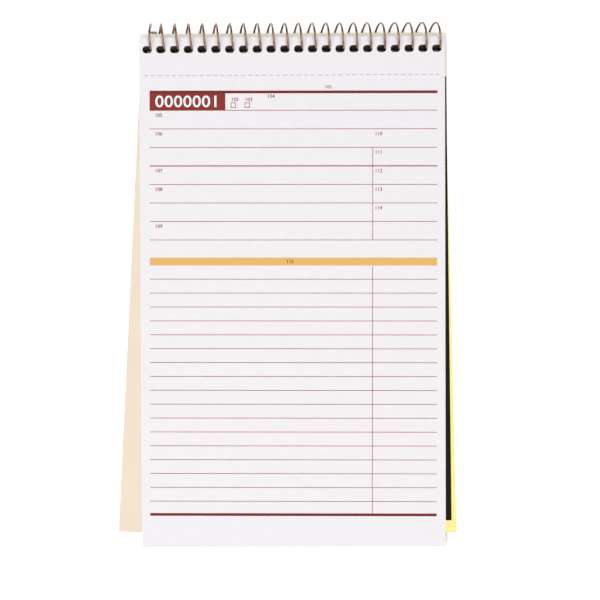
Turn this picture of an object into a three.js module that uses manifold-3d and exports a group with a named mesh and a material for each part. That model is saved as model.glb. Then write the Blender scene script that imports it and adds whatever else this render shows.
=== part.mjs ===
import * as THREE from 'three';
import { mergeVertices } from 'three/addons/utils/BufferGeometryUtils.js';
import Module from 'manifold-3d';

// Quotation book: duplicate sets of a white original and a canary copy, a loose carbon sheet,
// a loose manila writing shield and a back cover, all held by one wire spiral at the top edge.
// Millimetres. X runs along the spiral, +Y points from the foot of the book to the spiral, +Z is up.
// The origin is the centre of the back cover's underside.

// Leaves
const LEAF_WIDTH = 139.7;
const STUB_LENGTH = 17.5;
const FORM_LENGTH = 215.9;
const COPY_LENGTH = 228.6;
const LEAF_THICKNESS = 0.07;
const AIR_BETWEEN_SHEETS = 0.02;
const LEAF_HOLE_MARGIN = 5.6;
const LEAF_SLIP = 0.3;
const COPY_SWING_DEGREES = 1.3;

// Perforation that the form tears off at
const CUT_PITCH = 3.175;
const CUT_LENGTH = 2.1;
const CUT_WIDTH = 0.3;

// Sets that lie below the first two
const BUNDLES = 6;
const SETS_IN_BUNDLE = 8;
const LOOSE_SETS = 2;

// Back cover
const COVER_EXTRA_WIDTH = 3.2;
const COVER_LENGTH = 238.1;
const COVER_THICKNESS = 0.8;
const COVER_HOLE_MARGIN = 8.7;
const STACK_OFFSET = 0.5;

// Loose carbon sheet
const CARBON_WIDTH = 139.7;
const CARBON_LENGTH = 203.2;
const CARBON_THICKNESS = 0.04;
const CARBON_SKEW_DEGREES = 0.6;
const CARBON_OUT = 2.7;
const CARBON_UP = 11.8;

// Loose writing shield
const SHIELD_WIDTH = 139.7;
const SHIELD_LENGTH = 215.9;
const SHIELD_THICKNESS = 0.25;
const SHIELD_SKEW_DEGREES = - 3;
const SHIELD_OUT = 10.6;
const SHIELD_UP = 6.9;

// Wire spiral
const PITCH = 6.3;
const SPIRAL_DIAMETER = 14.3;
const WIRE_DIAMETER = 1;
const AXIS_HEIGHT = 4.6;
const HOLE_CLEARANCE = 0.04;
const HOLE_SIDES = 8;
const LOOP_STEPS = 24;
const WIRE_SIDES = 6;
const LOOP_LEAN = 0.64;
const LEAN_DEGREES = 36;
const FLAT_TO_DEGREES = 30;
const FIRST_DRIFT = 2.2;
const FIRST_END_DEGREES = - 42;
const LAST_END_DEGREES = 268;
const END_BEND = 0.7;
const FIRST_TAIL = 3.6;
const LAST_TAIL = 3.6;
const TAIL_STEPS = 5;
const GAP_STEPS = 96;

// Sizes that follow from the ones above
const leafLength = STUB_LENGTH + FORM_LENGTH;
const coverWidth = LEAF_WIDTH + COVER_EXTRA_WIDTH;
const holes = Math.floor( LEAF_WIDTH / PITCH );
const lastHole = holes - 1;
const ringRadius = ( SPIRAL_DIAMETER - WIRE_DIAMETER ) / 2;
const bundleThickness = 2 * SETS_IN_BUNDLE * LEAF_THICKNESS;
const halfPitch = PITCH / 2;

// Heights of the undersides, from the back cover up
const bundleBase = COVER_THICKNESS + AIR_BETWEEN_SHEETS;
const bundleStep = bundleThickness + AIR_BETWEEN_SHEETS;
const leafStep = LEAF_THICKNESS + AIR_BETWEEN_SHEETS;
const canary2Base = bundleBase + BUNDLES * bundleStep;
const white2Base = canary2Base + leafStep;
const shieldBase = white2Base + leafStep;
const canary1Base = shieldBase + SHIELD_THICKNESS + AIR_BETWEEN_SHEETS;
const carbonBase = canary1Base + leafStep;
const white1Base = carbonBase + CARBON_THICKNESS + AIR_BETWEEN_SHEETS;

// Angle about the spiral's axis at which the wire crosses a height, on the side of the book.
// Zero points to +Y and 90 degrees points up.
function crossingAngle( height ) {

	return Math.PI - Math.asin( ( height - AXIS_HEIGHT ) / ringRadius );

}

const topCrossing = crossingAngle( white1Base + LEAF_THICKNESS / 2 );

function crossingDepth( height ) {

	return ringRadius * Math.cos( crossingAngle( height ) );

}

// How far the wire has run along the spiral at an angle: it climbs one pitch to a turn, and each
// loop leans out of square to the axis.
function drift( angle ) {

	const lean = LOOP_LEAN * Math.sin( angle + THREE.MathUtils.degToRad( LEAN_DEGREES ) );
	return PITCH * angle / ( 2 * Math.PI ) + lean;

}

// A leaf turns half round without moving along the spiral, which climbs half a pitch in that turn,
// so each hole is half a pitch wider than the wire where it crosses the book most aslant.
const steepest = ( PITCH / ( 2 * Math.PI ) + LOOP_LEAN ) / crossingDepth( 0 );
const wireAcross = WIRE_DIAMETER * Math.hypot( 1, steepest );
const holeWidth = halfPitch + wireAcross + 2 * HOLE_CLEARANCE;
const wireInHole = halfPitch / 2;

const coverCrossing = crossingDepth( COVER_THICKNESS / 2 );
const axisY = COVER_LENGTH / 2 - COVER_HOLE_MARGIN - coverCrossing;
const topLeafFoot = axisY + crossingDepth( white1Base + LEAF_THICKNESS / 2 ) - LEAF_SLIP
	+ LEAF_HOLE_MARGIN - leafLength;

// Place of a sheet's row of holes at a height: sheets lean along the wire as the stack goes down
function rowSeat( height ) {

	const x = drift( crossingAngle( height ) ) - drift( topCrossing ) - STACK_OFFSET;
	const y = axisY + crossingDepth( height );
	return new THREE.Vector2( x, y );

}

// Colours of paper, board and wire

function finish( color, roughness, metalness = 0 ) {

	return new THREE.MeshStandardMaterial( { color, roughness, metalness } );

}

const finishes = {
	white: finish( 0xefecef, 0.85 ),
	canary: finish( 0xfdf79a, 0.85 ),
	stack: finish( 0xeceac9, 0.9 ),
	carbon: finish( 0x26201e, 0.45 ),
	manila: finish( 0xf3e4d2, 0.8 ),
	board: finish( 0xdedccb, 0.9 ),
	bronze: finish( 0x9a6f4c, 0.3, 1 ),
};

// Outlines, drawn about the middle of the row of holes

function polygon( path, points ) {

	path.moveTo( points[ 0 ].x, points[ 0 ].y );
	for ( const point of points.slice( 1 ) ) path.lineTo( point.x, point.y );
	path.closePath();
	return path;

}

function rectangle( path, left, right, bottom, top ) {

	return polygon( path, [
		new THREE.Vector2( left, bottom ),
		new THREE.Vector2( right, bottom ),
		new THREE.Vector2( right, top ),
		new THREE.Vector2( left, top ),
	] );

}

function punchHoles( outline ) {

	const corner = holeWidth / 2 / Math.cos( Math.PI / HOLE_SIDES );
	for ( let hole = 0; hole < holes; hole ++ ) {

		const x = ( hole - lastHole / 2 ) * PITCH;
		const points = [];
		for ( let side = 0; side < HOLE_SIDES; side ++ ) {

			const angle = ( side + 0.5 ) * 2 * Math.PI / HOLE_SIDES;
			points.push( new THREE.Vector2( x + corner * Math.cos( angle ), corner * Math.sin( angle ) ) );

		}

		outline.holes.push( polygon( new THREE.Path(), points ) );

	}

}

function punchedOutline( width, length, margin, middle = 0 ) {

	const left = middle - width / 2;
	const outline = rectangle( new THREE.Shape(), left, left + width, margin - length, margin );
	punchHoles( outline );
	return outline;

}

// The copy lies square to the spiral at its holes and swings to the right below them
function swungOutline() {

	const swing = THREE.MathUtils.degToRad( COPY_SWING_DEGREES );
	const half = LEAF_WIDTH / 2;
	const pivot = new THREE.Vector2( 0, - holeWidth );
	const drop = COPY_LENGTH - LEAF_HOLE_MARGIN - holeWidth;
	const foot = ( x ) => new THREE.Vector2( x, pivot.y - drop ).rotateAround( pivot, swing );
	const outline = polygon( new THREE.Shape(), [
		new THREE.Vector2( - half, LEAF_HOLE_MARGIN ),
		new THREE.Vector2( - half, pivot.y ),
		foot( - half ),
		foot( half ),
		new THREE.Vector2( half, pivot.y ),
		new THREE.Vector2( half, LEAF_HOLE_MARGIN ),
	] );
	punchHoles( outline );
	return outline;

}

function sheetGeometry( outline, thickness ) {

	return new THREE.ExtrudeGeometry( outline, { depth: thickness, bevelEnabled: false } );

}

const wasm = await Module();
wasm.setup();

function toSolid( geometry ) {

	geometry.deleteAttribute( 'normal' );
	geometry.deleteAttribute( 'uv' );
	const merged = mergeVertices( geometry );
	return new wasm.Manifold( new wasm.Mesh( {
		numProp: 3,
		vertProperties: new Float32Array( merged.attributes.position.array ),
		triVerts: new Uint32Array( merged.index.array ),
	} ) );

}

function toGeometry( solid ) {

	const mesh = solid.getMesh();
	const geometry = new THREE.BufferGeometry();
	geometry.setAttribute( 'position', new THREE.BufferAttribute( mesh.vertProperties, 3 ) );
	geometry.setIndex( new THREE.BufferAttribute( mesh.triVerts, 1 ) );
	return geometry;

}

// A row of short cuts right through the leaf, clear of both edges so that the leaf stays one piece
function perforated( leaf ) {

	const cuts = Math.floor( LEAF_WIDTH / CUT_PITCH ) - 1;
	const y = LEAF_HOLE_MARGIN - STUB_LENGTH;
	let solid = toSolid( leaf );
	for ( let cut = 0; cut < cuts; cut ++ ) {

		const blade = new THREE.BoxGeometry( CUT_LENGTH, CUT_WIDTH, 2 * leafStep );
		blade.translate( ( cut - ( cuts - 1 ) / 2 ) * CUT_PITCH, y, 0 );
		solid = solid.subtract( toSolid( blade ) );

	}

	return toGeometry( solid );

}

// A bound sheet or bundle of sheets, leaning so that its holes follow the wire from face to face
function boundSheet( name, sheet, base, thickness, material ) {

	const low = rowSeat( base );
	const high = rowSeat( base + thickness );
	const lean = new THREE.Matrix4().set(
		1, 0, ( high.x - low.x ) / thickness, 0,
		0, 1, ( high.y - low.y ) / thickness, 0,
		0, 0, 1, 0,
		0, 0, 0, 1,
	);
	const mesh = new THREE.Mesh( sheet.clone().applyMatrix4( lean ), material );
	mesh.name = name;
	mesh.position.set( low.x, low.y - LEAF_SLIP, base );
	return mesh;

}

// A loose sheet, set by where one of its lower corners shows past the white original's corner
function looseSheet( name, side, size, out, up, skewDegrees, base, material ) {

	const outline = rectangle( new THREE.Shape(),
		- size.width / 2, size.width / 2, - size.length / 2, size.length / 2 );
	const mesh = new THREE.Mesh( sheetGeometry( outline, size.thickness ), material );
	const skew = THREE.MathUtils.degToRad( skewDegrees );
	const corner = new THREE.Vector2( side * size.width / 2, - size.length / 2 )
		.rotateAround( new THREE.Vector2(), skew );
	mesh.name = name;
	mesh.rotation.z = skew;
	mesh.position.set(
		side * ( LEAF_WIDTH / 2 + out ) - STACK_OFFSET - corner.x,
		topLeafFoot + up - corner.y,
		base,
	);
	return mesh;

}

// Wire spiral: a right-hand winding whose strands cross the holes. The first loop runs flat over
// the top and is pulled aside only behind, and both ends are bent in along the book.

const firstStrandX = - lastHole / 2 * PITCH - STACK_OFFSET + wireInHole;

function strandPoint( angle ) {

	const flatTo = THREE.MathUtils.degToRad( FLAT_TO_DEGREES );
	const end = THREE.MathUtils.degToRad( FIRST_END_DEGREES );
	const pulled = Math.max( 0, ( flatTo - angle ) / ( flatTo - end ) );
	const run = angle >= topCrossing
		? drift( angle ) - drift( topCrossing )
		: - FIRST_DRIFT * pulled * pulled;
	return new THREE.Vector3(
		firstStrandX + run,
		axisY + ringRadius * Math.cos( angle ),
		AXIS_HEIGHT + ringRadius * Math.sin( angle ),
	);

}

function bentEnd( angle, sense, length ) {

	const start = strandPoint( angle );
	const along = new THREE.Vector3( 0, - Math.sin( angle ), Math.cos( angle ) ).multiplyScalar( sense );
	const corner = start.clone().addScaledVector( along, END_BEND );
	const tip = corner.clone().add( new THREE.Vector3( - sense * length, 0, 0 ) );
	return new THREE.QuadraticBezierCurve3( start, corner, tip ).getPoints( TAIL_STEPS ).slice( 1 );

}

function wireLine( stepsPerLoop ) {

	const from = THREE.MathUtils.degToRad( FIRST_END_DEGREES );
	const to = THREE.MathUtils.degToRad( LAST_END_DEGREES ) + 2 * Math.PI * lastHole;
	const steps = Math.round( ( to - from ) / ( 2 * Math.PI ) * stepsPerLoop );
	const points = bentEnd( from, - 1, FIRST_TAIL ).reverse();
	for ( let step = 0; step <= steps; step ++ ) {

		points.push( strandPoint( from + ( to - from ) * step / steps ) );

	}

	return points.concat( bentEnd( to, 1, LAST_TAIL ) );

}

function wireGeometry( line ) {

	const positions = [];
	const faces = [];
	const across = new THREE.Vector3( 0, 1, 0 );
	line.forEach( ( point, index ) => {

		const before = line[ Math.max( index - 1, 0 ) ];
		const after = line[ Math.min( index + 1, line.length - 1 ) ];
		const along = after.clone().sub( before ).normalize();
		across.addScaledVector( along, - across.dot( along ) ).normalize();
		const up = along.clone().cross( across );
		for ( let side = 0; side < WIRE_SIDES; side ++ ) {

			const angle = 2 * Math.PI * side / WIRE_SIDES;
			const rim = point.clone()
				.addScaledVector( across, Math.cos( angle ) * WIRE_DIAMETER / 2 )
				.addScaledVector( up, Math.sin( angle ) * WIRE_DIAMETER / 2 );
			positions.push( rim.x, rim.y, rim.z );

		}

	} );

	for ( let ring = 0; ring < line.length - 1; ring ++ ) {

		for ( let side = 0; side < WIRE_SIDES; side ++ ) {

			const next = ( side + 1 ) % WIRE_SIDES;
			const low = ring * WIRE_SIDES;
			const high = low + WIRE_SIDES;
			faces.push( low + side, low + next, high + next );
			faces.push( low + side, high + next, high + side );

		}

	}

	const last = ( line.length - 1 ) * WIRE_SIDES;
	for ( let side = 1; side < WIRE_SIDES - 1; side ++ ) {

		faces.push( 0, side + 1, side );
		faces.push( last, last + side, last + side + 1 );

	}

	const geometry = new THREE.BufferGeometry();
	geometry.setAttribute( 'position', new THREE.Float32BufferAttribute( positions, 3 ) );
	geometry.setIndex( faces );
	return geometry;

}

// Least gap between stretches of the wire that are half a loop or more apart along it
function leastWireGap() {

	const line = wireLine( GAP_STEPS );
	let least = Infinity;
	for ( let first = 0; first < line.length; first ++ ) {

		for ( let second = first + GAP_STEPS / 2; second < line.length; second ++ ) {

			least = Math.min( least, line[ first ].distanceTo( line[ second ] ) );

		}

	}

	return least - WIRE_DIAMETER;

}

console.log( `least gap of the wire to itself: ${ leastWireGap().toFixed( 2 ) } mm` );

// The book, from the back cover up

const book = new THREE.Group();

const coverRow = new THREE.Vector2( rowSeat( 0 ).x, rowSeat( COVER_THICKNESS / 2 ).y );
const coverOutline = punchedOutline( coverWidth, COVER_LENGTH, COVER_HOLE_MARGIN, - coverRow.x );
const cover = new THREE.Mesh( sheetGeometry( coverOutline, COVER_THICKNESS ), finishes.board );
cover.name = 'back_cover';
cover.position.set( coverRow.x, coverRow.y, 0 );
book.add( cover );

const wire = new THREE.Mesh( wireGeometry( wireLine( LOOP_STEPS ) ), finishes.bronze );
wire.name = 'wire_spiral';
book.add( wire );

// Each bundle stands for the originals and copies of its sets, the last sets lowest
const leafOutline = punchedOutline( LEAF_WIDTH, leafLength, LEAF_HOLE_MARGIN );
const bundleSheet = sheetGeometry( leafOutline, bundleThickness );
for ( let bundle = 0; bundle < BUNDLES; bundle ++ ) {

	const last = LOOSE_SETS + ( BUNDLES - bundle ) * SETS_IN_BUNDLE;
	const first = String( last - SETS_IN_BUNDLE + 1 ).padStart( 2, '0' );
	const name = `sets_${ first }_to_${ last }`;
	const base = bundleBase + bundle * bundleStep;
	book.add( boundSheet( name, bundleSheet, base, bundleThickness, finishes.stack ) );

}

const original = perforated( sheetGeometry( leafOutline, LEAF_THICKNESS ) );
const copy = sheetGeometry( punchedOutline( LEAF_WIDTH, COPY_LENGTH, LEAF_HOLE_MARGIN ), LEAF_THICKNESS );
const swungCopy = sheetGeometry( swungOutline(), LEAF_THICKNESS );

book.add( boundSheet( 'canary_leaf_2', copy, canary2Base, LEAF_THICKNESS, finishes.canary ) );
book.add( boundSheet( 'white_leaf_2', original, white2Base, LEAF_THICKNESS, finishes.white ) );

const shieldSize = { width: SHIELD_WIDTH, length: SHIELD_LENGTH, thickness: SHIELD_THICKNESS };
book.add( looseSheet( 'writing_shield', - 1, shieldSize,
	SHIELD_OUT, SHIELD_UP, SHIELD_SKEW_DEGREES, shieldBase, finishes.manila ) );

book.add( boundSheet( 'canary_leaf_1', swungCopy, canary1Base, LEAF_THICKNESS, finishes.canary ) );

const carbonSize = { width: CARBON_WIDTH, length: CARBON_LENGTH, thickness: CARBON_THICKNESS };
book.add( looseSheet( 'carbon_sheet', 1, carbonSize,
	CARBON_OUT, CARBON_UP, CARBON_SKEW_DEGREES, carbonBase, finishes.carbon ) );

book.add( boundSheet( 'white_leaf_1', original, white1Base, LEAF_THICKNESS, finishes.white ) );

export default book;
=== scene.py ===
import math
import random

import bmesh
import bpy
from mathutils import Matrix, Vector


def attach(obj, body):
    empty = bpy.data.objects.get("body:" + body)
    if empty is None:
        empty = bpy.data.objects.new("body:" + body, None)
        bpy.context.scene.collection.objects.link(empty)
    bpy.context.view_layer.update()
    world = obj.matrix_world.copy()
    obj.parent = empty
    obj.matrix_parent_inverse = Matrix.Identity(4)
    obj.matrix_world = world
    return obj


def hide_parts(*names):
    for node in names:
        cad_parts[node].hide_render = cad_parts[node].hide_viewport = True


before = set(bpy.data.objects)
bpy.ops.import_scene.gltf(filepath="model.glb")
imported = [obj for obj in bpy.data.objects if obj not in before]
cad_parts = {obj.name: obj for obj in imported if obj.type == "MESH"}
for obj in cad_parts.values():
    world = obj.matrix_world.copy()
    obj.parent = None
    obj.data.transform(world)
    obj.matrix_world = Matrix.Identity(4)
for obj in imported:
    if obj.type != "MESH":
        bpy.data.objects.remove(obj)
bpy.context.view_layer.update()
random.seed(22)


# Back cover. A flat board of grey chip fibre with a smooth pale liner pasted on both faces, die
# cut to size and punched along its top edge. Every bound sheet goes through the same punch, so
# the shape of a hole and the seats on the wire are here.

MM = 0.001
LEAF_WIDTH = 139.7
HOLES = 22
PITCH = 6.3
HOLE_ACROSS = 4.28
HOLE_HIGH = 3.3
HOLE_CORNER = 1.5
CORNER_STEPS = 5
AXIS = Vector((0.0, 115.506, 4.6))
RING_RADIUS = 6.65
LOOP_LEAN = 0.64
LEAN_ANGLE = math.radians(36)
STACK_SHIFT = -0.5
TOP_LEAF_MIDDLE = 8.295
COVER_WIDTH = 142.9
COVER_LENGTH = 238.1
COVER_THICKNESS = 0.8
WELD = 0.001
SLACK = 0.01
EDGE_MARGIN = 1.0


def linear(code):
    """Turns an sRGB hex colour into the linear values that a shader takes."""
    parts = [int(code[start:start + 2], 16) / 255 for start in (1, 3, 5)]
    return [*(p / 12.92 if p <= 0.04045 else ((p + 0.055) / 1.055) ** 2.4 for p in parts), 1.0]


def add(tree, kind, inputs, **settings):
    """Adds a node; an input given as another node's output is linked, any other is set."""
    made = tree.nodes.new(kind)
    for name, value in settings.items():
        setattr(made, name, value)
    for socket, value in inputs.items():
        if isinstance(value, bpy.types.NodeSocket):
            tree.links.new(value, made.inputs[socket])
        else:
            made.inputs[socket].default_value = value
    return made


def open_material(name):
    """Starts an empty material and gives it with its node tree and its object coordinates."""
    material = bpy.data.materials.new(name)
    material.use_nodes = True
    material.node_tree.nodes.clear()
    place = add(material.node_tree, "ShaderNodeTexCoord", {}).outputs["Object"]
    return material, material.node_tree, place


def crossing(height):
    """Angle on the ring where the wire crosses a height, on the side of the book."""
    return math.pi - math.asin((height - AXIS.z) / RING_RADIUS)


def drift(angle):
    """How far the wire has run along the spiral at an angle, as each loop leans out of square."""
    return PITCH * angle / (2 * math.pi) + LOOP_LEAN * math.sin(angle + LEAN_ANGLE)


def seat(height):
    """Middle of the row of holes in a sheet at a height, which leans along the wire."""
    x = drift(crossing(height)) - drift(crossing(TOP_LEAF_MIDDLE)) + STACK_SHIFT
    return x, AXIS.y + RING_RADIUS * math.cos(crossing(height))


def rectangle(left, right, bottom, top):
    return [(left, bottom), (right, bottom), (right, top), (left, top)]


def punched_row():
    """The 22 holes, drawn about the middle of their row: rounded, wider than high."""
    loops = []
    for hole in range(HOLES):
        middle = (hole - (HOLES - 1) / 2) * PITCH
        loop = []
        for sign_x, sign_y, start in ((1, 1, 0), (-1, 1, 90), (-1, -1, 180), (1, -1, 270)):
            corner_x = middle + sign_x * (HOLE_ACROSS / 2 - HOLE_CORNER)
            corner_y = sign_y * (HOLE_HIGH / 2 - HOLE_CORNER)
            for step in range(CORNER_STEPS + 1):
                angle = math.radians(start + 90 * step / CORNER_STEPS)
                loop.append((corner_x + HOLE_CORNER * math.cos(angle),
                             corner_y + HOLE_CORNER * math.sin(angle)))
        loops.append(loop)
    return loops


def is_wall(face):
    """Whether a face of a cut sheet stands, unlike its top and its underside."""
    return abs(face.normal.z) < 0.5


def cut_sheet(name, outline, openings, thickness):
    """A flat sheet cut from its outline and openings, lying on zero, all in millimetres.
    The walls of its punched holes take its second material, a painted shade."""
    drawn = bpy.data.curves.new(name, "CURVE")
    drawn.dimensions = "2D"
    drawn.fill_mode = "BOTH"
    drawn.extrude = thickness / 2
    for loop in [outline, *openings]:
        spline = drawn.splines.new("POLY")
        spline.points.add(len(loop) - 1)
        for point, (x, y) in zip(spline.points, loop):
            point.co = (x, y, 0.0, 1.0)
        spline.use_cyclic_u = True
    drawing = bpy.data.objects.new(name, drawn)
    mesh = bpy.data.meshes.new_from_object(drawing)
    bpy.data.objects.remove(drawing)
    bpy.data.curves.remove(drawn)
    cut = bmesh.new()
    cut.from_mesh(mesh)
    bmesh.ops.remove_doubles(cut, verts=cut.verts, dist=WELD)
    bmesh.ops.translate(cut, verts=cut.verts, vec=(0.0, 0.0, thickness / 2))
    bmesh.ops.recalc_face_normals(cut, faces=cut.faces)
    for face in cut.faces:
        middle = face.calc_center_median()
        in_row = abs(middle.y) < HOLE_HIGH / 2 + SLACK
        inside = abs(middle.x) < LEAF_WIDTH / 2 - EDGE_MARGIN
        face.material_index = 1 if in_row and inside and is_wall(face) else 0
    cut.to_mesh(mesh)
    cut.free()
    return mesh


def place_piece(mesh, name, body, spot, turn=0.0, node=None):
    """Puts a mesh drawn in millimetres at its spot in the book and lets it move with a body."""
    piece = bpy.data.objects.new(name, mesh)
    bpy.context.scene.collection.objects.link(piece)
    piece.matrix_world = (
        Matrix.Translation(Vector(spot) * MM)
        @ Matrix.Rotation(turn, 4, "Z")
        @ Matrix.Scale(MM, 4)
    )
    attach(piece, body)
    if node:
        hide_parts(node)
    return piece


def coated_liner():
    """Machine-finished board liner: flat and pale with a green cast, faint cloud and flecks."""
    material, tree, place = open_material("board_liner")
    cloud = add(tree, "ShaderNodeTexNoise", {"Vector": place, "Scale": 0.12, "Detail": 4.0})
    fleck = add(tree, "ShaderNodeTexVoronoi", {"Vector": place, "Scale": 0.55})
    speck = add(tree, "ShaderNodeMapRange", {
        "Value": fleck.outputs["Distance"], "From Min": 0.06, "From Max": 0.16,
        "To Min": 0.35, "To Max": 0.0})
    pale = add(tree, "ShaderNodeMixRGB", {
        "Fac": cloud.outputs["Fac"], "Color1": linear("#F3F2E3"), "Color2": linear("#F9F8ED")})
    tone = add(tree, "ShaderNodeMixRGB", {
        "Fac": speck.outputs["Result"], "Color1": pale.outputs["Color"],
        "Color2": linear("#CFCBB6")})
    grain = add(tree, "ShaderNodeTexNoise", {"Vector": place, "Scale": 4.0, "Detail": 3.0})
    bump = add(tree, "ShaderNodeBump", {
        "Height": grain.outputs["Fac"], "Strength": 0.12, "Distance": 0.00004})
    shader = add(tree, "ShaderNodeBsdfPrincipled", {
        "Base Color": tone.outputs["Color"], "Roughness": 0.62, "IOR": 1.48,
        "Normal": bump.outputs["Normal"]})
    add(tree, "ShaderNodeOutputMaterial", {"Surface": shader.outputs["BSDF"]})
    return material


def chip_core():
    """Cut edge of chipboard: grey-brown fibre pressed in layers, about ten to the board."""
    material, tree, place = open_material("chipboard_core")
    layered = add(tree, "ShaderNodeMapping", {"Vector": place, "Scale": (0.5, 0.5, 12.0)})
    plies = add(tree, "ShaderNodeTexNoise", {
        "Vector": layered.outputs["Vector"], "Scale": 1.0, "Detail": 5.0, "Roughness": 0.65})
    tone = add(tree, "ShaderNodeMixRGB", {
        "Fac": plies.outputs["Fac"], "Color1": linear("#8F8B7C"), "Color2": linear("#C9C5B4")})
    bump = add(tree, "ShaderNodeBump", {
        "Height": plies.outputs["Fac"], "Strength": 0.5, "Distance": 0.0001})
    shader = add(tree, "ShaderNodeBsdfPrincipled", {
        "Base Color": tone.outputs["Color"], "Roughness": 0.95, "IOR": 1.46,
        "Normal": bump.outputs["Normal"]})
    add(tree, "ShaderNodeOutputMaterial", {"Surface": shader.outputs["BSDF"]})
    return material


def punch_burr():
    """Painted shade for the walls of the punched holes: a dark brown, rough and layered, standing
    in for the shade down in the holes.
    """
    material, tree, place = open_material("hole_wall_shade")
    layered = add(tree, "ShaderNodeMapping", {"Vector": place, "Scale": (0.8, 0.8, 14.0)})
    plies = add(tree, "ShaderNodeTexNoise", {
        "Vector": layered.outputs["Vector"], "Scale": 1.0, "Detail": 4.0})
    tone = add(tree, "ShaderNodeMixRGB", {
        "Fac": plies.outputs["Fac"], "Color1": linear("#20120C"), "Color2": linear("#3A271D")})
    bump = add(tree, "ShaderNodeBump", {
        "Height": plies.outputs["Fac"], "Strength": 0.4, "Distance": 0.00005})
    shader = add(tree, "ShaderNodeBsdfPrincipled", {
        "Base Color": tone.outputs["Color"], "Roughness": 0.95, "IOR": 1.45,
        "Normal": bump.outputs["Normal"]})
    add(tree, "ShaderNodeOutputMaterial", {"Surface": shader.outputs["BSDF"]})
    return material


cover_row = (seat(0.0)[0], seat(COVER_THICKNESS / 2)[1])
# The hole walls of every sheet and of the board get a dark painted shade.
hole_wall_shade = punch_burr()
board = cut_sheet(
    "back_board",
    rectangle(-COVER_WIDTH / 2 - cover_row[0], COVER_WIDTH / 2 - cover_row[0],
              -COVER_LENGTH / 2 - cover_row[1], COVER_LENGTH / 2 - cover_row[1]),
    punched_row(), COVER_THICKNESS)
board.materials.append(coated_liner())
board.materials.append(hole_wall_shade)
board.materials.append(chip_core())
for face in board.polygons:
    if is_wall(face) and face.material_index == 0:
        face.material_index = 2
place_piece(board, "back_board", "back", (*cover_row, 0.0), node="back_cover")


# Wire spiral. One length of 1 mm steel wire with a bronze lacquer, wound right-handed at four
# loops to the inch and run through every hole. Both ends are bent in so that they don't catch,
# and the first loop is pressed flat on top and pulled aside only behind.

WIRE_RADIUS = 0.49
WIRE_SIDES = 16
LOOP_STEPS = 72
FLAT_TO = math.radians(30)
FIRST_DRIFT = 2.2
FIRST_END = math.radians(-42)
LAST_END = math.radians(268)
END_BEND = 0.7
FIRST_TAIL = 3.6
LAST_TAIL = 3.6
TAIL_STEPS = 12
FIRST_STRAND = -(HOLES - 1) / 2 * PITCH + STACK_SHIFT + PITCH / 4


def strand(angle):
    """Point on the middle of the wire at an angle wound from the first loop's start."""
    top = crossing(TOP_LEAF_MIDDLE)
    pulled = max(0.0, (FLAT_TO - angle) / (FLAT_TO - FIRST_END))
    run = drift(angle) - drift(top) if angle >= top else -FIRST_DRIFT * pulled ** 2
    return Vector((
        FIRST_STRAND + run,
        AXIS.y + RING_RADIUS * math.cos(angle),
        AXIS.z + RING_RADIUS * math.sin(angle)))


def bent_end(angle, sense, length):
    """The stretch past the winding's end, curved over and run along the book."""
    start = strand(angle)
    along = Vector((0.0, -math.sin(angle), math.cos(angle))) * sense
    corner = start + along * END_BEND
    tip = corner + Vector((-sense * length, 0.0, 0.0))
    points = []
    for step in range(1, TAIL_STEPS + 1):
        part = step / TAIL_STEPS
        points.append(start * (1 - part) ** 2 + corner * 2 * part * (1 - part) + tip * part ** 2)
    return points


def wire_path():
    """The wire's middle line from tip to tip: bent end, winding, bent end."""
    last = LAST_END + 2 * math.pi * (HOLES - 1)
    steps = round((last - FIRST_END) / (2 * math.pi) * LOOP_STEPS)
    wound = [strand(FIRST_END + (last - FIRST_END) * step / steps) for step in range(steps + 1)]
    return bent_end(FIRST_END, -1, FIRST_TAIL)[::-1] + wound + bent_end(last, 1, LAST_TAIL)


def wire_mesh(path):
    """A round wire swept along its path, with a lengthwise map for the marks of drawing."""
    wire = bmesh.new()
    lengthwise = wire.loops.layers.uv.new("lengthwise")
    across = Vector((0.0, 1.0, 0.0))
    rings = []
    run = [0.0]
    for index, point in enumerate(path):
        before = path[max(index - 1, 0)]
        along = (path[min(index + 1, len(path) - 1)] - before).normalized()
        across = (across - along * across.dot(along)).normalized()
        up = along.cross(across)
        ring = []
        for side in range(WIRE_SIDES):
            angle = 2 * math.pi * side / WIRE_SIDES
            rim = across * math.cos(angle) + up * math.sin(angle)
            ring.append(wire.verts.new(point + rim * WIRE_RADIUS))
        rings.append(ring)
        run.append(run[-1] + (point - before).length)
    for index in range(len(rings) - 1):
        for side in range(WIRE_SIDES):
            after = (side + 1) % WIRE_SIDES
            face = wire.faces.new((rings[index][side], rings[index][after],
                                   rings[index + 1][after], rings[index + 1][side]))
            face.smooth = True
            spots = ((index, side), (index, side + 1), (index + 1, side + 1), (index + 1, side))
            for corner, (ring_at, side_at) in zip(face.loops, spots):
                corner[lengthwise].uv = (run[ring_at + 1], side_at / WIRE_SIDES)
    wire.faces.new(rings[0][::-1])
    wire.faces.new(rings[-1])
    bmesh.ops.recalc_face_normals(wire, faces=wire.faces)
    mesh = bpy.data.meshes.new("wire_coil")
    wire.to_mesh(mesh)
    wire.free()
    return mesh


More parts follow.
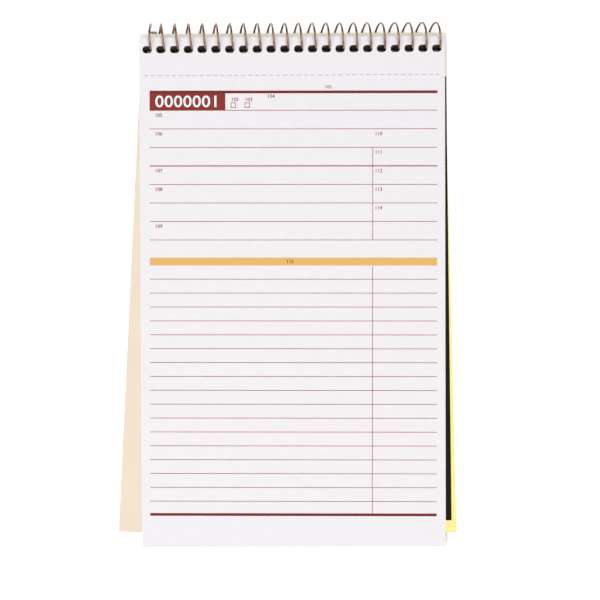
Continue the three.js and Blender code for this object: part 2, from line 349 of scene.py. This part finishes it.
def bronze_lacquer():
    """Drawn steel wire under bronze lacquer: deep brown with a bright warm shine, fine lines
    along the wire, darker where the lacquer pools and paler where the coiling die rubbed it."""
    material, tree, place = open_material("bronze_lacquered_wire")
    along = add(tree, "ShaderNodeUVMap", {}, uv_map="lengthwise")
    drawn = add(tree, "ShaderNodeMapping", {"Vector": along.outputs["UV"],
                                            "Scale": (0.25, 18.0, 1.0)})
    lines = add(tree, "ShaderNodeTexNoise", {
        "Vector": drawn.outputs["Vector"], "Scale": 1.0, "Detail": 4.0})
    pools = add(tree, "ShaderNodeTexNoise", {"Vector": place, "Scale": 0.5, "Detail": 3.0})
    worn = add(tree, "ShaderNodeTexNoise", {"Vector": place, "Scale": 1.6, "Detail": 5.0})
    thin = add(tree, "ShaderNodeMapRange", {
        "Value": worn.outputs["Fac"], "From Min": 0.58, "From Max": 0.72,
        "To Min": 0.0, "To Max": 0.4})
    lacquer = add(tree, "ShaderNodeMixRGB", {
        "Fac": pools.outputs["Fac"], "Color1": linear("#7E6453"), "Color2": linear("#B4927A")})
    tone = add(tree, "ShaderNodeMixRGB", {
        "Fac": thin.outputs["Result"], "Color1": lacquer.outputs["Color"],
        "Color2": linear("#D8B694")})
    rough = add(tree, "ShaderNodeMapRange", {
        "Value": lines.outputs["Fac"], "To Min": 0.2, "To Max": 0.34})
    bump = add(tree, "ShaderNodeBump", {
        "Height": lines.outputs["Fac"], "Strength": 0.12, "Distance": 0.00003})
    shader = add(tree, "ShaderNodeBsdfPrincipled", {
        "Base Color": tone.outputs["Color"], "Metallic": 1.0, "Coat Weight": 0.7,
        "Coat Roughness": 0.16, "Roughness": rough.outputs["Result"],
        "Normal": bump.outputs["Normal"]})
    add(tree, "ShaderNodeOutputMaterial", {"Surface": shader.outputs["BSDF"]})
    return material


coil = wire_mesh(wire_path())
coil.materials.append(bronze_lacquer())
place_piece(coil, "wire_coil", "back", (0.0, 0.0, 0.0), node="wire_spiral")


# Sets 3 to 50. Ninety-six thin leaves, each set a white original over a canary copy, gathered and
# punched together. The copies are 4.8 mm shorter, and no leaf lies quite true to the next.

STUB_LENGTH = 17.5
FORM_LENGTH = 215.9
COPY_LENGTH = 228.6
LEAF_HOLE_MARGIN = 5.6
LEAF_PITCH = 0.07
LEAF_THICKNESS = 0.064
LEAF_SLIP = 0.3
SHEET_GAP = 0.02
CUT_PITCH = 3.175
CUT_LENGTH = 2.1
CUT_WIDTH = 0.05
CRUSHED_AND_SHADED_EDGE = 0.12
INK_LIFT = 0.004
BUNDLES = ["sets_43_to_50", "sets_35_to_42", "sets_27_to_34",
           "sets_19_to_26", "sets_11_to_18", "sets_03_to_10"]
LEAVES_IN_BUNDLE = 16
UNTRUE = 0.18
ROW_Y = 109.4
SHELTER = 0.0022
# Where the painted shade by the holes fades out, past the row and towards the sides.
SHADE_PAST_ROW = (2.4, 3.2)
SHADE_TO_SIDE = (68.85, 69.05)


def bond_paper(name, light, shade, dark_at, clean_at):
    """Uncoated bond paper: matt, a soft cloud of fibre some 6 mm across, a fibre grain drawn at
    0.5 mm so that it shows, and a brown painted shade in the sheltered paper by the holes,
    from none at one degree of shelter to dark at the other."""
    material, tree, place = open_material(name)
    cloud = add(tree, "ShaderNodeTexNoise", {
        "Vector": place, "Scale": 0.17, "Detail": 5.0, "Roughness": 0.6})
    machine = add(tree, "ShaderNodeMapping", {"Vector": place, "Scale": (2.6, 1.1, 2.0)})
    fibre = add(tree, "ShaderNodeTexNoise", {
        "Vector": machine.outputs["Vector"], "Scale": 1.0, "Detail": 6.0, "Roughness": 0.7})
    formed = add(tree, "ShaderNodeMixRGB", {
        "Fac": cloud.outputs["Fac"], "Color1": linear(shade), "Color2": linear(light)})
    spread = add(tree, "ShaderNodeMapRange", {
        "Value": fibre.outputs["Fac"], "From Min": 0.3, "From Max": 0.7,
        "To Min": 0.965, "To Max": 1.0})
    tone = add(tree, "ShaderNodeMixRGB", {
        "Fac": 1.0, "Color1": formed.outputs["Color"], "Color2": spread.outputs["Result"]},
        blend_type="MULTIPLY")
    # Painted shade: ambient occlusion darkens the paper towards brown near the holes.
    shelter = add(tree, "ShaderNodeAmbientOcclusion", {"Distance": SHELTER}, samples=6)
    clean = add(tree, "ShaderNodeMapRange", {
        "Value": shelter.outputs["AO"], "From Min": dark_at, "From Max": clean_at})
    painted_shade_tone = add(tree, "ShaderNodeMixRGB", {
        "Fac": clean.outputs["Result"], "Color1": linear("#3B231A"),
        "Color2": (1.0, 1.0, 1.0, 1.0)})
    spot = add(tree, "ShaderNodeSeparateXYZ", {"Vector": place})
    from_row = add(tree, "ShaderNodeMath", {0: spot.outputs["Y"]}, operation="ABSOLUTE")
    by_holes = add(tree, "ShaderNodeMapRange", {
        "Value": from_row.outputs["Value"], "From Min": SHADE_PAST_ROW[0],
        "From Max": SHADE_PAST_ROW[1], "To Min": 1.0, "To Max": 0.0})
    across = add(tree, "ShaderNodeMath", {0: spot.outputs["X"]}, operation="ABSOLUTE")
    inside = add(tree, "ShaderNodeMapRange", {
        "Value": across.outputs["Value"], "From Min": SHADE_TO_SIDE[0],
        "From Max": SHADE_TO_SIDE[1], "To Min": 1.0, "To Max": 0.0})
    shade_reach = add(tree, "ShaderNodeMath", {
        0: inside.outputs["Result"], 1: by_holes.outputs["Result"]}, operation="MULTIPLY")
    shaded_by_holes = add(tree, "ShaderNodeMixRGB", {
        "Fac": shade_reach.outputs["Value"], "Color1": tone.outputs["Color"],
        "Color2": painted_shade_tone.outputs["Color"]}, blend_type="MULTIPLY")
    rough = add(tree, "ShaderNodeMapRange", {
        "Value": fibre.outputs["Fac"], "To Min": 0.82, "To Max": 0.95})
    bump = add(tree, "ShaderNodeBump", {
        "Height": fibre.outputs["Fac"], "Strength": 0.2, "Distance": 0.00003})
    shader = add(tree, "ShaderNodeBsdfPrincipled", {
        "Base Color": shaded_by_holes.outputs["Color"], "Roughness": rough.outputs["Result"],
        "IOR": 1.45, "Normal": bump.outputs["Normal"]})
    add(tree, "ShaderNodeOutputMaterial", {"Surface": shader.outputs["BSDF"]})
    return material


def perforation_cuts():
    """The row of short cuts that the form tears off at, clear of both edges."""
    count = math.floor(LEAF_WIDTH / CUT_PITCH) - 1
    y = LEAF_HOLE_MARGIN - STUB_LENGTH
    cuts = []
    for cut in range(count):
        x = (cut - (count - 1) / 2) * CUT_PITCH
        cuts.append(rectangle(x - CUT_LENGTH / 2, x + CUT_LENGTH / 2,
                              y - CUT_WIDTH / 2, y + CUT_WIDTH / 2))
    return cuts


def lay_flat(ink, left, right, bottom, top, material, lift=0.0):
    """One patch of a mark on the paper, as a single face."""
    verts = [ink.verts.new((x, y, lift)) for x, y in rectangle(left, right, bottom, top)]
    ink.faces.new(verts).material_index = material


def crushed_fibre():
    """Grey beside each cut of the perforating rule, partly paper crushed by the rule and partly
    painted shade of the narrow cut, with torn pale fibres.
    """
    material, tree, place = open_material("crushed_and_shaded_perforation")
    torn = add(tree, "ShaderNodeTexNoise", {
        "Vector": place, "Scale": 3.0, "Detail": 5.0, "Roughness": 0.7})
    tone = add(tree, "ShaderNodeMixRGB", {
        "Fac": torn.outputs["Fac"], "Color1": linear("#96969A"), "Color2": linear("#C6C6CA")})
    shader = add(tree, "ShaderNodeBsdfPrincipled", {
        "Base Color": tone.outputs["Color"], "Roughness": 0.95, "IOR": 1.45})
    add(tree, "ShaderNodeOutputMaterial", {"Surface": shader.outputs["BSDF"]})
    return material


# The top white sheet takes painted shade only in deep shelter; the other leaves take far more by
# their holes.
white_bond = bond_paper("white_bond_paper", "#F6F2F3", "#F0EDEE", 0.2, 0.5)
stacked_white = bond_paper("stacked_white_bond", "#F6F2F3", "#F0EDEE", 0.74, 0.96)
stacked_canary = bond_paper("stacked_canary_bond", "#FDF69D", "#F9F18F", 0.74, 0.96)

white_sheet = cut_sheet(
    "white_original",
    rectangle(-LEAF_WIDTH / 2, LEAF_WIDTH / 2, LEAF_HOLE_MARGIN - STUB_LENGTH - FORM_LENGTH,
              LEAF_HOLE_MARGIN),
    punched_row() + perforation_cuts(), LEAF_THICKNESS)
white_sheet.materials.append(white_bond)
white_sheet.materials.append(hole_wall_shade)
canary_sheet = cut_sheet(
    "canary_copy",
    rectangle(-LEAF_WIDTH / 2, LEAF_WIDTH / 2, LEAF_HOLE_MARGIN - COPY_LENGTH, LEAF_HOLE_MARGIN),
    punched_row(), LEAF_THICKNESS)
canary_sheet.materials.append(stacked_canary)
canary_sheet.materials.append(hole_wall_shade)

# Grey dashes either side of each cut: crushed paper and painted shade.
dash_marks = bmesh.new()
for (left, bottom), _, (right, top), _ in perforation_cuts():
    lay_flat(dash_marks, left, right, top, top + CRUSHED_AND_SHADED_EDGE, 0)
    lay_flat(dash_marks, left, right, bottom - CRUSHED_AND_SHADED_EDGE, bottom, 0)
crushed_and_shaded_dashes = bpy.data.meshes.new("crushed_and_shaded_dashes")
dash_marks.to_mesh(crushed_and_shaded_dashes)
dash_marks.free()
crushed_and_shaded_dashes.materials.append(crushed_fibre())


def gather(name, base):
    """One bundle: copies and originals in turn, each seated on the wire, corners a little in."""
    bundle = bmesh.new()
    corner = LEAF_WIDTH / 2 - SLACK
    for leaf in range(LEAVES_IN_BUNDLE):
        first = len(bundle.verts)
        first_face = len(bundle.faces)
        bundle.from_mesh(white_sheet if leaf % 2 else canary_sheet)
        bundle.verts.ensure_lookup_table()
        bundle.faces.ensure_lookup_table()
        height = base + leaf * LEAF_PITCH
        x, y = seat(height + LEAF_THICKNESS / 2)
        pulled = {key: (random.uniform(0, UNTRUE), random.uniform(0, UNTRUE))
                  for key in ((-1, -1), (-1, 1), (1, -1), (1, 1))}
        for vert in bundle.verts[first:]:
            if abs(vert.co.x) > corner:
                side = int(math.copysign(1, vert.co.x))
                end = int(math.copysign(1, vert.co.y))
                vert.co.x -= side * pulled[side, end][0]
                vert.co.y -= end * pulled[side, end][1]
            vert.co += Vector((x, y - LEAF_SLIP - ROW_Y, height))
        for face in bundle.faces[first_face:]:
            face.material_index = 2 if face.material_index else leaf % 2
    mesh = bpy.data.meshes.new(name)
    bundle.to_mesh(mesh)
    bundle.free()
    # The third slot is the painted shade of the hole walls.
    for material in (stacked_canary, stacked_white, hole_wall_shade):
        mesh.materials.append(material)
    return mesh


base = COVER_THICKNESS + SHEET_GAP
for body in BUNDLES:
    leaves = gather(f"{body}_leaves", base)
    place_piece(leaves, f"{body}_leaves", body, (0.0, ROW_Y, 0.0), node=body)
    base += LEAVES_IN_BUNDLE * LEAF_PITCH + SHEET_GAP


# First and second sets. The leaves in use: each canary copy under its perforated white original.
# The first copy has worked loose of its fellows and swings out to the right below its holes.

COPY_SWING = math.radians(1.3)
LEAF_STEP = LEAF_PITCH + SHEET_GAP
SHIELD_THICKNESS = 0.25
CARBON_THICKNESS = 0.04


def seated(height):
    """Where a bound leaf with its underside at a height has the middle of its row of holes."""
    x, y = seat(height + LEAF_PITCH / 2)
    return x, y - LEAF_SLIP, height


canary_2_at = seated(base)
white_2_at = seated(base + LEAF_STEP)
shield_base = base + 2 * LEAF_STEP
canary_1_at = seated(shield_base + SHIELD_THICKNESS + SHEET_GAP)
white_1_at = seated(canary_1_at[2] + LEAF_STEP + CARBON_THICKNESS + SHEET_GAP)

pivot = Vector((0.0, -HOLE_ACROSS))
drop = COPY_LENGTH - LEAF_HOLE_MARGIN - HOLE_ACROSS
turned = Matrix.Rotation(COPY_SWING, 2)
foot_left = pivot + turned @ Vector((-LEAF_WIDTH / 2, -drop))
foot_right = pivot + turned @ Vector((LEAF_WIDTH / 2, -drop))
swung_sheet = cut_sheet(
    "swung_canary_copy",
    [(-LEAF_WIDTH / 2, LEAF_HOLE_MARGIN), (-LEAF_WIDTH / 2, pivot.y), tuple(foot_left),
     tuple(foot_right), (LEAF_WIDTH / 2, pivot.y), (LEAF_WIDTH / 2, LEAF_HOLE_MARGIN)],
    punched_row(), LEAF_THICKNESS)
swung_sheet.materials.append(stacked_canary)
swung_sheet.materials.append(hole_wall_shade)

under_sheet = white_sheet.copy()
under_sheet.materials[0] = stacked_white

place_piece(canary_sheet, "canary_copy_2", "canary_leaf_2", canary_2_at,
            node="canary_leaf_2")
place_piece(under_sheet, "white_original_2", "white_leaf_2", white_2_at,
            node="white_leaf_2")
place_piece(swung_sheet, "canary_copy_1", "canary_leaf_1", canary_1_at,
            node="canary_leaf_1")
place_piece(white_sheet, "white_original_1", "white_leaf_1", white_1_at,
            node="white_leaf_1")


# Printed form. One maroon ink for the title block, the boxes and the rules, redder where a fine
# line takes a thin film, and one amber ink for the band; the press ran a little off the leaf.
# Each field carries only a plain number, and the title block the number of its set.

PRINT_TURN = math.radians(-0.22)
PRINT_LEFT = -65.12
PRINT_RIGHT = 66.45
PRINT_TOP = -18.7
THICK_RULE = 1.25
THIN_RULE = 0.29
HEAVY_RULE = 0.5
HEAVY_ROW = 3
ROW_RULES = [-27.55 - 8.46 * row for row in range(8)]
BAND = (-94.95, -98.6)
DESCRIPTION_RULES = [-104.73 - 6.375 * row for row in range(17)]
FOOT_RULE = -212.38
COLUMN_RULE = 37.08
BLOCK_RIGHT = -30.47
BOXES = (-28.0, -21.65)
BOX_TOP = -24.1
BOX_SIDE = 2.4
NUMBER_SIZE = 2.2
NUMBER_BOLD = 0.045
NUMBER_DROP = 1.5
FIRST_FIELD = 101
FIELDS = [(15.4, -16.2), (-27.4, -21.9), (-21.1, -21.9), (-10.9, -20.4)]
FIELDS += [(-62.3, ROW_RULES[row] - NUMBER_DROP) for row in (0, 1, 3, 4, 6)]
FIELDS += [(38.3, ROW_RULES[row] - NUMBER_DROP) for row in (1, 2, 3, 4, 5)]
BAND_FIELD = (-2.2, BAND[0] - 1.0)
TITLE_AT = (-62.5, -20.9)
TITLE_SIZE = 7.4
TITLE_SPAN = 28.0
TITLE_BOLD = 0.1
OVER_THIN_RULE = 0.0005
OVER_RULES = 0.001
OVER_BLOCK = 0.002
# The form's material slots: title block and boxes, thick rules, band, bare paper, fine lines.
BLOCK_INK, THICK_INK, BAND_INK, BARE, FINE_INK = range(5)


def press_ink(name, code, strength):
    """Offset ink sunk into bond paper: flat and matt, with a few fibres pale through it."""
    material, tree, place = open_material(name)
    fibre = add(tree, "ShaderNodeTexNoise", {
        "Vector": place, "Scale": 3.0, "Detail": 6.0, "Roughness": 0.75})
    cover = add(tree, "ShaderNodeMapRange", {
        "Value": fibre.outputs["Fac"], "From Min": 0.35, "From Max": 0.75,
        "To Min": 0.0, "To Max": strength})
    tone = add(tree, "ShaderNodeMixRGB", {
        "Fac": cover.outputs["Result"], "Color1": linear(code), "Color2": linear("#F0EEF1")})
    shader = add(tree, "ShaderNodeBsdfPrincipled", {
        "Base Color": tone.outputs["Color"], "Roughness": 0.85, "IOR": 1.5,
        "Specular IOR Level": 0.2})
    add(tree, "ShaderNodeOutputMaterial", {"Surface": shader.outputs["BSDF"]})
    return material


maroon_ink = press_ink("maroon_press_ink", "#8B2E23", 0.04)
dark_maroon_ink = press_ink("maroon_rule_ink", "#792018", 0.04)
hairline_ink = press_ink("maroon_hairline_ink", "#A02C20", 0.04)
amber_ink = press_ink("amber_press_ink", "#E9B965", 0.08)
bare_number = press_ink("number_left_bare", "#F8F6F8", 0.0)


def lay_number(ink, text, left, top, size, material, lift=0.0, span=None, bold=0.0):
    """Plain figures set by their top left corner and, where given, spread to a span."""
    written = bpy.data.curves.new("figures", "FONT")
    written.body = text
    written.size = size
    written.offset = bold
    written.space_character = 1.05
    line = bpy.data.objects.new("figures", written)
    mesh = bpy.data.meshes.new_from_object(line)
    bpy.data.objects.remove(line)
    bpy.data.curves.remove(written)
    first = len(ink.verts)
    first_face = len(ink.faces)
    ink.from_mesh(mesh)
    bpy.data.meshes.remove(mesh)
    ink.verts.ensure_lookup_table()
    ink.faces.ensure_lookup_table()
    figures = ink.verts[first:]
    high = max(vert.co.y for vert in figures)
    near = min(vert.co.x for vert in figures)
    width = span / (max(vert.co.x for vert in figures) - near) if span else 1.0
    for vert in figures:
        vert.co = Vector((left + (vert.co.x - near) * width, top + vert.co.y - high, lift))
    for face in ink.faces[first_face:]:
        face.material_index = material


def print_form(number):
    """All the ink of one form, drawn about the middle of the leaf's row of holes."""
    ink = bmesh.new()
    lay_flat(ink, PRINT_LEFT, BLOCK_RIGHT, ROW_RULES[0], PRINT_TOP - THICK_RULE,
             BLOCK_INK)
    lay_flat(ink, PRINT_LEFT, PRINT_RIGHT, PRINT_TOP - THICK_RULE, PRINT_TOP, THICK_INK)
    lay_flat(ink, PRINT_LEFT, PRINT_RIGHT, FOOT_RULE - THICK_RULE, FOOT_RULE, THICK_INK)
    lay_flat(ink, PRINT_LEFT, PRINT_RIGHT, BAND[1], BAND[0], BAND_INK)
    for y in ROW_RULES + DESCRIPTION_RULES:
        lay_flat(ink, PRINT_LEFT, PRINT_RIGHT, y - THIN_RULE, y, FINE_INK)
    heavy = ROW_RULES[HEAVY_ROW] + (HEAVY_RULE - THIN_RULE) / 2
    lay_flat(ink, PRINT_LEFT, PRINT_RIGHT, heavy - HEAVY_RULE, heavy, FINE_INK,
             lift=OVER_THIN_RULE)
    for top, bottom in ((ROW_RULES[2], ROW_RULES[7]), (BAND[1], FOOT_RULE)):
        lay_flat(ink, COLUMN_RULE - THIN_RULE, COLUMN_RULE, bottom, top - THIN_RULE,
                 FINE_INK, lift=OVER_RULES)
    for left in BOXES:
        right = left + BOX_SIDE
        bottom = BOX_TOP - BOX_SIDE
        lay_flat(ink, left, right, BOX_TOP - THIN_RULE, BOX_TOP, BLOCK_INK)
        lay_flat(ink, left, right, bottom, bottom + THIN_RULE, BLOCK_INK)
        lay_flat(ink, left, left + THIN_RULE, bottom, BOX_TOP, BLOCK_INK)
        lay_flat(ink, right - THIN_RULE, right, bottom, BOX_TOP, BLOCK_INK)
    lay_number(ink, number, *TITLE_AT, TITLE_SIZE, BARE, lift=OVER_BLOCK, span=TITLE_SPAN,
               bold=TITLE_BOLD)
    for count, (left, top) in enumerate(FIELDS, FIRST_FIELD):
        lay_number(ink, str(count), left, top, NUMBER_SIZE, FINE_INK, bold=NUMBER_BOLD)
    lay_number(ink, str(FIRST_FIELD + len(FIELDS)), *BAND_FIELD, NUMBER_SIZE, FINE_INK,
               lift=OVER_RULES, bold=NUMBER_BOLD)
    middle = Vector((PRINT_LEFT, PRINT_TOP, 0.0))
    bmesh.ops.rotate(ink, verts=ink.verts, cent=middle, matrix=Matrix.Rotation(PRINT_TURN, 3, "Z"))
    mesh = bpy.data.meshes.new(f"form_{number}")
    ink.to_mesh(mesh)
    ink.free()
    for material in (maroon_ink, dark_maroon_ink, amber_ink, bare_number, hairline_ink):
        mesh.materials.append(material)
    return mesh


def on_top(spot, swing=0.0):
    """Where the ink of a leaf lies: on its upper face, turned with a copy that has swung."""
    x, y, z = spot
    if swing:
        moved = pivot - turned @ pivot
        x, y = x + moved.x, y + moved.y
    return x, y, z + LEAF_THICKNESS + INK_LIFT


form_1 = print_form("0000001")
form_2 = print_form("0000002")
place_piece(form_1, "form_on_white_1", "white_leaf_1", on_top(white_1_at))
place_piece(form_1, "form_on_canary_1", "canary_leaf_1",
            on_top(canary_1_at, COPY_SWING), turn=COPY_SWING)
place_piece(form_2, "form_on_white_2", "white_leaf_2", on_top(white_2_at))
place_piece(form_2, "form_on_canary_2", "canary_leaf_2", on_top(canary_2_at))
place_piece(crushed_and_shaded_dashes, "perforation_of_white_1", "white_leaf_1",
            on_top(white_1_at))
place_piece(crushed_and_shaded_dashes, "perforation_of_white_2", "white_leaf_2",
            on_top(white_2_at))
base = COVER_THICKNESS + SHEET_GAP
for body in BUNDLES:
    base += LEAVES_IN_BUNDLE * LEAF_PITCH + SHEET_GAP
    top_leaf = base - SHEET_GAP - LEAF_PITCH
    x, y = seat(top_leaf + LEAF_THICKNESS / 2)
    spot = on_top((x, y - LEAF_SLIP, top_leaf))
    number = "00000" + body[5:7]
    place_piece(print_form(number), f"form_on_{body}", body, spot)
    place_piece(crushed_and_shaded_dashes, f"perforation_of_{body}", body, spot)


# Writing shield. A loose sheet of manila tag, 0.25 mm thick, slid under the set in use so that
# the pen doesn't mark the next one. Its cut edges are sharp and its faces are calendered smooth.


def manila_tag():
    """Manila tag board: buff, half smooth, with long pale fibres and a few darker shives."""
    material, tree, place = open_material("manila_tag_board")
    cloud = add(tree, "ShaderNodeTexNoise", {
        "Vector": place, "Scale": 90.0, "Detail": 5.0, "Roughness": 0.6})
    stretched = add(tree, "ShaderNodeMapping", {
        "Vector": place, "Scale": (900.0, 260.0, 900.0)})
    fibre = add(tree, "ShaderNodeTexNoise", {
        "Vector": stretched.outputs["Vector"], "Scale": 1.0, "Detail": 6.0, "Roughness": 0.7})
    shives = add(tree, "ShaderNodeMapRange", {
        "Value": fibre.outputs["Fac"], "From Min": 0.66, "From Max": 0.76,
        "To Min": 0.0, "To Max": 0.35})
    buff = add(tree, "ShaderNodeMixRGB", {
        "Fac": cloud.outputs["Fac"], "Color1": linear("#ECDAC2"), "Color2": linear("#F2E3CE")})
    tone = add(tree, "ShaderNodeMixRGB", {
        "Fac": shives.outputs["Result"], "Color1": buff.outputs["Color"],
        "Color2": linear("#D9BF9E")})
    bump = add(tree, "ShaderNodeBump", {
        "Height": fibre.outputs["Fac"], "Strength": 0.15, "Distance": 0.00003})
    shader = add(tree, "ShaderNodeBsdfPrincipled", {
        "Base Color": tone.outputs["Color"], "Roughness": 0.72, "IOR": 1.48,
        "Normal": bump.outputs["Normal"]})
    add(tree, "ShaderNodeOutputMaterial", {"Surface": shader.outputs["BSDF"]})
    return material


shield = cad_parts["writing_shield"]
shield.data.materials.clear()
shield.data.materials.append(manila_tag())


# Carbon sheet. Thin tissue with a waxed black coating, cut on a guillotine and laid loose
# between original and copy. Use has left soft scuffs on its low shine.


def carbon_wax():
    """Waxed carbon coating: near black with a brown cast, a low shine and dull scuffs."""
    material, tree, place = open_material("waxed_carbon_coating")
    scuff_map = add(tree, "ShaderNodeMapping", {
        "Vector": place, "Scale": (260.0, 90.0, 260.0)})
    scuff = add(tree, "ShaderNodeTexNoise", {
        "Vector": scuff_map.outputs["Vector"], "Scale": 1.0, "Detail": 7.0, "Roughness": 0.7})
    tissue = add(tree, "ShaderNodeTexNoise", {"Vector": place, "Scale": 1800.0, "Detail": 3.0})
    tone = add(tree, "ShaderNodeMixRGB", {
        "Fac": scuff.outputs["Fac"], "Color1": linear("#0E0A09"), "Color2": linear("#191312")})
    rough = add(tree, "ShaderNodeMapRange", {
        "Value": scuff.outputs["Fac"], "To Min": 0.4, "To Max": 0.62})
    bump = add(tree, "ShaderNodeBump", {
        "Height": tissue.outputs["Fac"], "Strength": 0.2, "Distance": 0.00003})
    shader = add(tree, "ShaderNodeBsdfPrincipled", {
        "Base Color": tone.outputs["Color"], "Roughness": rough.outputs["Result"],
        "IOR": 1.45, "Specular IOR Level": 0.12, "Normal": bump.outputs["Normal"]})
    add(tree, "ShaderNodeOutputMaterial", {"Surface": shader.outputs["BSDF"]})
    return material


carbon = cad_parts["carbon_sheet"]
carbon.data.materials.clear()
carbon.data.materials.append(carbon_wax())


# Table under the book. A smooth painted board that meets the foot of the back cover and the
# lowest side of the spiral, so it falls away by 0.6 degrees towards the spiral.

FOOT_Y = -COVER_LENGTH / 2
TABLE_REACH = 3.0
TABLE_GAP = 0.00005
reach = Vector((AXIS.y - FOOT_Y, AXIS.z))
slope = math.atan2(reach.y, reach.x) - math.asin((RING_RADIUS + WIRE_RADIUS) / reach.length)
table_mesh = bpy.data.meshes.new("table_top")
table_mesh.from_pydata(
    [(x, y, 0.0) for x, y in rectangle(-TABLE_REACH, TABLE_REACH, -TABLE_REACH, TABLE_REACH)],
    [], [(0, 1, 2, 3)])
table = bpy.data.objects.new("table_top", table_mesh)
bpy.context.scene.collection.objects.link(table)
table.rotation_euler = (slope, 0.0, 0.0)
table.location = (0.0, FOOT_Y * MM, -TABLE_GAP)

table_material, tree, place = open_material("pale_table_paint")
grain = add(tree, "ShaderNodeTexNoise", {"Vector": place, "Scale": 300.0, "Detail": 3.0})
pale = add(tree, "ShaderNodeMixRGB", {
    "Fac": grain.outputs["Fac"], "Color1": linear("#F4F4F4"), "Color2": linear("#F8F8F8")})
# Painted shade: the paint's colour is darkened where the book shelters it.
shelter = add(tree, "ShaderNodeAmbientOcclusion", {"Distance": 0.012}, samples=6)
painted_sheltered_shade = add(tree, "ShaderNodeMapRange", {
    "Value": shelter.outputs["AO"], "From Min": 0.05, "From Max": 0.3,
    "To Min": 0.05, "To Max": 1.0})
paint = add(tree, "ShaderNodeMixRGB", {
    "Fac": 1.0, "Color1": pale.outputs["Color"], "Color2": painted_sheltered_shade.outputs["Result"]},
    blend_type="MULTIPLY")
painted = add(tree, "ShaderNodeBsdfDiffuse", {"Color": paint.outputs["Color"]})
seen = add(tree, "ShaderNodeLightPath", {})
mirrored = add(tree, "ShaderNodeMath", {
    0: seen.outputs["Is Glossy Ray"], 1: seen.outputs["Is Transmission Ray"]},
    operation="MAXIMUM")
dimmer = add(tree, "ShaderNodeMath", {
    0: mirrored.outputs["Value"], 1: 0.3}, operation="MULTIPLY")
shown = add(tree, "ShaderNodeMath", {
    0: seen.outputs["Is Camera Ray"], 1: dimmer.outputs["Value"]}, operation="MAXIMUM")
open_air = add(tree, "ShaderNodeMapRange", {
    "Value": shelter.outputs["AO"], "From Min": 0.12, "From Max": 0.45,
    "To Min": 0.0, "To Max": 0.45})
away = add(tree, "ShaderNodeVectorMath", {0: place}, operation="LENGTH")
far = add(tree, "ShaderNodeMapRange", {
    "Value": away.outputs["Value"], "From Min": 0.25, "From Max": 1.0,
    "To Min": 1.0, "To Max": 1.8})
level = add(tree, "ShaderNodeMath", {
    0: open_air.outputs["Result"], 1: far.outputs["Result"]}, operation="MULTIPLY")
lit = add(tree, "ShaderNodeMath", {
    0: shown.outputs["Value"], 1: level.outputs["Value"]}, operation="MULTIPLY")
glow = add(tree, "ShaderNodeEmission", {"Strength": lit.outputs["Value"]})
both = add(tree, "ShaderNodeAddShader", {
    0: painted.outputs["BSDF"], 1: glow.outputs["Emission"]})
add(tree, "ShaderNodeOutputMaterial", {"Surface": both.outputs["Shader"]})
table_mesh.materials.append(table_material)


# Studio. A broad soft lamp overhead, a weak one low at the foot and a dim ceiling over a pale
# cove, which give the wire its one long highlight and its dark stretches.

world = bpy.data.worlds.new("studio_room")
bpy.context.scene.world = world
world.use_nodes = True
world.node_tree.nodes.clear()
tree = world.node_tree
direction = add(tree, "ShaderNodeTexCoord", {}).outputs["Generated"]
split = add(tree, "ShaderNodeSeparateXYZ", {"Vector": direction})
cove = add(tree, "ShaderNodeMapRange", {
    "Value": split.outputs["Z"], "From Min": 0.22, "From Max": 0.38,
    "To Min": 1.0, "To Max": 0.06}, interpolation_type="SMOOTHSTEP")
path = add(tree, "ShaderNodeLightPath", {})
walls = add(tree, "ShaderNodeMixRGB", {
    "Fac": path.outputs["Is Glossy Ray"], "Color1": (0.2, 0.2, 0.224, 1.0),
    "Color2": cove.outputs["Result"]})
direct = add(tree, "ShaderNodeMath", {
    0: path.outputs["Is Camera Ray"], 1: path.outputs["Is Transmission Ray"]},
    operation="MAXIMUM")
shown = add(tree, "ShaderNodeMixRGB", {
    "Fac": direct.outputs["Value"], "Color1": walls.outputs["Color"],
    "Color2": (1.0, 1.0, 1.0, 1.0)})
room = add(tree, "ShaderNodeBackground", {"Color": shown.outputs["Color"], "Strength": 1.0})
add(tree, "ShaderNodeOutputWorld", {"Surface": room.outputs["Background"]})


def soft_lamp(name, spot, tilt, long, wide, watts):
    """A lamp whose long side runs along the spiral, tilted up from straight down."""
    lamp = bpy.data.lights.new(name, "AREA")
    lamp.shape = "RECTANGLE"
    lamp.size = long
    lamp.size_y = wide
    lamp.energy = watts
    lamp_object = bpy.data.objects.new(name, lamp)
    bpy.context.scene.collection.objects.link(lamp_object)
    lamp_object.location = spot
    lamp_object.rotation_euler = (math.radians(tilt), 0.0, 0.0)


soft_lamp("key_lamp", (-0.15, 0.02, 1.1), 0, 1.6, 1.2, 12.4)
soft_lamp("fill_lamp", (0.1, -0.9, 0.9), 45, 1.4, 1.4, 5.0)

# Fitted so that the modelled leaf's corners fall on the photographed ones.
LENS = 52.4
CAMERA_AT = (0.005385, -0.000529, 0.40833)
CAMERA_TURN = (-0.6393, 0.3626, -0.2027)
camera_data = bpy.data.cameras.new("camera")
camera_data.sensor_width = 36.0
camera_data.lens = LENS
camera_data.clip_start = 0.01
camera = bpy.data.objects.new("camera", camera_data)
bpy.context.scene.collection.objects.link(camera)
camera.location = CAMERA_AT
camera.rotation_euler = tuple(math.radians(part) for part in CAMERA_TURN)
bpy.context.scene.camera = camera
bpy.context.scene.view_settings.view_transform = "Standard"
